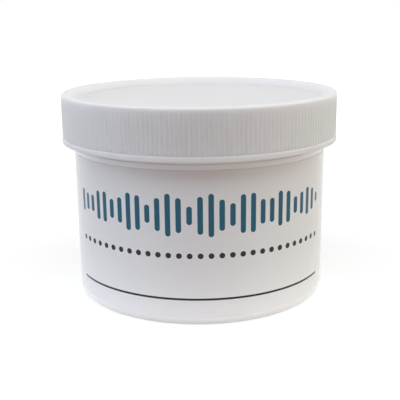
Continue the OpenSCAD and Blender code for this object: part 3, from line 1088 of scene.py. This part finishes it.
def drying_gel(name, rgb, pale):
    """Glossy gel beads."""
    made, tree, shader = material(name, IOR=1.46, Coat_Weight=0.5, Coat_Roughness=0.08)
    gel = grouped(tree, "Drying gel", Color=rgba(rgb), Pale=rgba(pale))
    plug(tree, shader, gel, Base_Color="Color", Roughness="Roughness", Normal="Normal")
    return made


# Operators: one for each piece or group of like pieces, and one for the stage


class DRYER_OT_jar(bpy.types.Operator):
    """Build the jar: base, wall, shoulder ring, neck and thread"""

    bl_idname = "dryer.jar"
    bl_label = "Jar"

    def execute(self, context):
        scene = context.scene
        sizes = scene.dryer_jar
        surface = jar_surface(sizes, scene.dryer_thread)
        plastic = foot_shaded_plastic("jar plastic", scene.dryer_finishes.jar, sizes.heel_height)
        piece("jar_body", surface, "jar", ["jar"], plastic)
        return {"FINISHED"}


class DRYER_OT_label(bpy.types.Operator):
    """Wrap the printed label round the jar"""

    bl_idname = "dryer.label"
    bl_label = "Label"

    def execute(self, context):
        scene = context.scene
        surface, sheet = label_surface(scene.dryer_label, scene.dryer_jar)
        film = printed_film(scene.dryer_finishes, scene.dryer_label)
        made = piece("label_wrap", surface, "jar", ["label"], film)
        corner = np.zeros(len(made.data.loops), np.int32)
        made.data.loops.foreach_get("vertex_index", corner)
        layer = made.data.uv_layers.new(name="sheet")
        layer.data.foreach_set("uv", sheet[corner].astype(np.float32).ravel())
        return {"FINISHED"}


class DRYER_OT_cap(bpy.types.Operator):
    """Build the ribbed screw cap and its thread"""

    bl_idname = "dryer.cap"
    bl_label = "Cap"

    def execute(self, context):
        scene = context.scene
        jar, threads, sizes = scene.dryer_jar, scene.dryer_thread, scene.dryer_cap
        slope = (threads.root_width - threads.crest_width) / 2 / threads.height
        under = threads.root_width - slope * (sizes.skirt_radius - jar.neck_radius) + threads.gap
        low_thread = neck_thread_low(jar, threads) - under + threads.lead * threads.cap_start / TAU
        plastic = white_plastic("cap plastic", scene.dryer_finishes.cap, roughness=0.42,
                                grain_height=0.000006, share=1.0, depth=3 * MM)
        piece("cap_moulding", cap_surface(sizes), "cap", ["cap"], plastic)
        inner = thread(sizes.skirt_radius, -1, threads.cap_turns, low_thread, threads.cap_start, threads)
        piece("cap_thread", inner, "cap", ["cap"], plastic)
        return {"FINISHED"}


class DRYER_OT_foam(bpy.types.Operator):
    """Build the sealing disc and the two foam pads"""

    bl_idname = "dryer.foam"
    bl_label = "Foam pieces"

    def execute(self, context):
        scene = context.scene
        sizes = scene.dryer_pads
        foam, seal = open_cell_foam(scene.dryer_finishes), sealing_foam(scene.dryer_finishes)
        outer, bottom, top = span("upper_foam_pad")
        surface = foam_ring(outer, sizes.hole_radius, bottom, top, sizes)
        upper = piece("upper_pad", surface, "pad", ["upper_foam_pad"], foam, SOFT_CREASE)
        surface = foam_disc(*span("lower_foam_pad"), sizes)
        lower = piece("lower_pad", surface, "jar", ["lower_foam_pad"], foam, SOFT_CREASE)
        surface = liner_surface(*span("cap_liner"), sizes, scene.dryer_jar)
        liner = piece("sealing_disc", surface, "liner", ["cap_liner"], seal)
        return {"FINISHED"}


def make_sheet_metal(sizes, finishes):
    """The drawn cup, and the aluminium finish of the perforated cover."""
    metal = drawn_aluminium("cup aluminium", finishes, roughness=0.30, marks=0.16)
    piece("canister_cup_sheet", cup_surface(sizes), "canister", ["canister_cup"],
          metal)
    metal = drawn_aluminium("cover aluminium", finishes, roughness=0.36, marks=0.10)
    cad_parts["canister_cover"].material_slots[0].material = metal


def make_window(sizes, finishes):
    """The dust filter, the clear window in it, and the ring that holds the window."""
    outer, bottom, top = span("cover_filter")
    surface = filter_surface(outer, reach("window_lens") * MM + sizes.filter_gap, bottom, top)
    piece("dust_filter", surface, "canister", ["cover_filter"], filter_felt(finishes))
    outer, bottom, top = span("window_lens")
    surface = lens_surface(sizes, outer, bottom, low("canister_cover") * MM, top)
    piece("window", surface, "canister", ["window_lens"], clear_plastic(finishes))
    outer, bottom, top = span("window_grommet")
    surface = grommet_surface(outer, sizes.grommet_bore, bottom, top)
    plastic = white_plastic("grommet plastic", finishes.grommet, roughness=0.4,
                            grain_height=0.00001, share=0.2, depth=1 * MM)
    piece("window_ring", surface, "canister", ["window_grommet"], plastic)


def make_gel(sizes, finishes):
    """The bed of gel, and the indicator beads in its pocket."""
    bead_low = low("indicator_beads") * MM
    pocket = (sizes.bead_rings + 0.5) * (sizes.bead + sizes.bead_gap) + sizes.pocket_gap
    outer, bottom, top = span("desiccant_fill")
    surface = bed_surface(sizes, bottom, top, outer, pocket, bead_low)
    gel = drying_gel("silica gel", finishes.gel, finishes.pale_gel)
    piece("gel_bed", surface, "canister", ["desiccant_fill"], gel)
    gel = drying_gel("indicator gel", finishes.indicator, finishes.pale_indicator)
    surface = beads_surface(sizes, bead_low + sizes.bead / 2)
    piece("indicator_gel_beads", surface, "canister", ["indicator_beads"], gel,
          SOFT_CREASE)


class DRYER_OT_canister(bpy.types.Operator):
    """Build the drying canister: cup, cover, filter, window, grommet, gel bed and indicator beads"""

    bl_idname = "dryer.canister"
    bl_label = "Canister"

    def execute(self, context):
        for make in (make_sheet_metal, make_window, make_gel):
            make(context.scene.dryer_canister, context.scene.dryer_finishes)
        return {"FINISHED"}


def floor_material():
    """A white floor. The camera sees it lifted to white, so that only the object's shadow shows.
    The light that it sends back comes mostly from close round the jar, as from a small white card."""
    card_edge, card_end, card_white, far_grey = 48 * MM, 90 * MM, 0.97, 0.12
    shadow_edge, shadow_end, shadow_lift, shadow_white = 80 * MM, 450 * MM, 0.66, 0.42
    made = bpy.data.materials.new("floor")
    tree = bare_tree(made)
    radius = add(tree, "VectorMath", {0: place_of(tree)}, operation="LENGTH").outputs["Value"]
    card = grey(tree, spread(tree, radius, card_edge, card_end, card_white, far_grey, eased=True))
    plain = add(tree, "BsdfDiffuse", {"Color": card})
    faint = add(tree, "BsdfDiffuse", {"Color": rgba([shadow_white] * 3)})
    glow = spread(tree, radius, shadow_edge, shadow_end, shadow_lift, 1.0)
    lift = add(tree, "Emission", {"Color": (1, 1, 1, 1), "Strength": glow})
    shown = add(tree, "AddShader", {0: faint.outputs[0], 1: lift.outputs[0]})
    mixed = add(tree, "MixShader", {0: seen(tree), 1: plain.outputs[0], 2: shown.outputs[0]})
    add(tree, "OutputMaterial", {"Surface": mixed.outputs[0]})
    return made


def white_world(settings):
    """A plain world: white to the camera, in gloss and through glass, and dimmer as a light."""
    world = bpy.data.worlds.new("surround")
    tree = bare_tree(world)
    strength = spread(tree, seen(tree), 0.0, 1.0, settings.fill, 1.0)
    back = add(tree, "Background", {"Color": (1, 1, 1, 1), "Strength": strength})
    add(tree, "OutputWorld", {"Surface": back.outputs[0]})
    return world


# Each lamp's place, width and height in metres, and tint
LAMPS = {
    "overhead": ((0, -0.05, 1.0), (1.0, 1.0), (1.0, 0.69, 0.63)),
    "high_front": ((0, -0.55, 1.0), (0.9, 0.4), (0.69, 0.89, 1.0)),
    "left": ((-0.9, -0.1, 0.45), (0.7, 0.9), (0.90, 0.98, 1.0)),
    "right": ((0.9, -0.1, 0.45), (0.7, 0.9), (0.94, 1.0, 0.94)),
    "low_left": ((-0.8, -0.8, 0.12), (0.6, 0.2), (0.95, 0.70, 1.0)),
    "low_right": ((0.8, -0.8, 0.12), (0.6, 0.2), (1.0, 0.58, 0.27)),
}
MIDDLE = Vector((0, 0, 0.035))


def lamp(key, power, collection):
    """A soft rectangular lamp, turned to face the middle of the jar and not seen in gloss."""
    place, size, tint = LAMPS[key]
    name = key.replace("_", " ") + " lamp"
    data = bpy.data.lights.new(name, "AREA")
    data.shape, (data.size, data.size_y) = "RECTANGLE", size
    data.energy, data.color = power, tint
    made = bpy.data.objects.new(name, data)
    made.location = place
    made.rotation_euler = (MIDDLE - Vector(place)).to_track_quat("-Z", "Y").to_euler()
    made.visible_glossy = False
    collection.objects.link(made)


def camera(settings, collection):
    """The camera, at its place, tipped down by the pitch and turned about its view by the roll."""
    data = bpy.data.cameras.new("camera")
    data.sensor_width, data.lens = 36, settings.lens
    data.clip_start, data.clip_end = 0.01, 20
    made = bpy.data.objects.new("camera", data)
    made.matrix_world = (
        Matrix.Translation(settings.eye)
        @ Matrix.Rotation(TAU / 4 - settings.pitch, 4, "X")
        @ Matrix.Rotation(settings.roll, 4, "Z")
    )
    collection.objects.link(made)
    return made


def floor_sheet(half, collection):
    """A flat square floor under the jar, of a half width."""
    mesh = bpy.data.meshes.new("floor")
    corners = [(-half, -half, 0), (half, -half, 0), (half, half, 0), (-half, half, 0)]
    mesh.from_pydata(corners, [], [(0, 1, 2, 3)])
    mesh.materials.append(floor_material())
    made = bpy.data.objects.new("floor", mesh)
    collection.objects.link(made)
    return made


class DRYER_OT_stage(bpy.types.Operator):
    """Set up the floor, the soft lamps and the camera"""

    bl_idname = "dryer.stage"
    bl_label = "Stage"

    def execute(self, context):
        scene = context.scene
        settings = scene.dryer_stage
        floor_sheet(settings.floor, scene.collection)
        scene.world = white_world(settings)
        for key in LAMPS:
            lamp(key, getattr(settings, key), scene.collection)
        scene.camera = camera(settings, scene.collection)
        scene.view_settings.view_transform = "Standard"
        return {"FINISHED"}


SETTINGS = {
    "dryer_jar": JarSizes,
    "dryer_thread": ThreadSizes,
    "dryer_cap": CapSizes,
    "dryer_label": LabelSizes,
    "dryer_canister": CanisterSizes,
    "dryer_pads": PadSizes,
    "dryer_finishes": Finishes,
    "dryer_stage": StageSettings,
}
OPERATORS = (
    DRYER_OT_jar, DRYER_OT_label, DRYER_OT_cap, DRYER_OT_foam, DRYER_OT_canister, DRYER_OT_stage)


class DRYER_PT_panel(bpy.types.Panel):
    """Sizes, colours and build buttons of the hearing aid dryer"""

    bl_idname = "DRYER_PT_panel"
    bl_label = "Hearing aid dryer"
    bl_space_type = "VIEW_3D"
    bl_region_type = "UI"
    bl_category = "Dryer"

    def draw(self, context):
        for operator in OPERATORS:
            self.layout.operator(operator.bl_idname)
        for name, group in SETTINGS.items():
            box = self.layout.box()
            for key in group.__annotations__:
                box.prop(getattr(context.scene, name), key)


def register():
    for group in SETTINGS.values():
        bpy.utils.register_class(group)
    for name, group in SETTINGS.items():
        setattr(bpy.types.Scene, name, bpy.props.PointerProperty(type=group))
    for operator in OPERATORS:
        bpy.utils.register_class(operator)
    bpy.utils.register_class(DRYER_PT_panel)


def unregister():
    bpy.utils.unregister_class(DRYER_PT_panel)
    for operator in reversed(OPERATORS):
        bpy.utils.unregister_class(operator)
    for name in SETTINGS:
        delattr(bpy.types.Scene, name)
    for group in SETTINGS.values():
        bpy.utils.unregister_class(group)


def main():
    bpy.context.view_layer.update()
    register()
    bpy.ops.dryer.jar()
    bpy.ops.dryer.label()
    bpy.ops.dryer.cap()
    bpy.ops.dryer.foam()
    bpy.ops.dryer.canister()
    bpy.ops.dryer.stage()


if __name__ == "__main__":
    main()
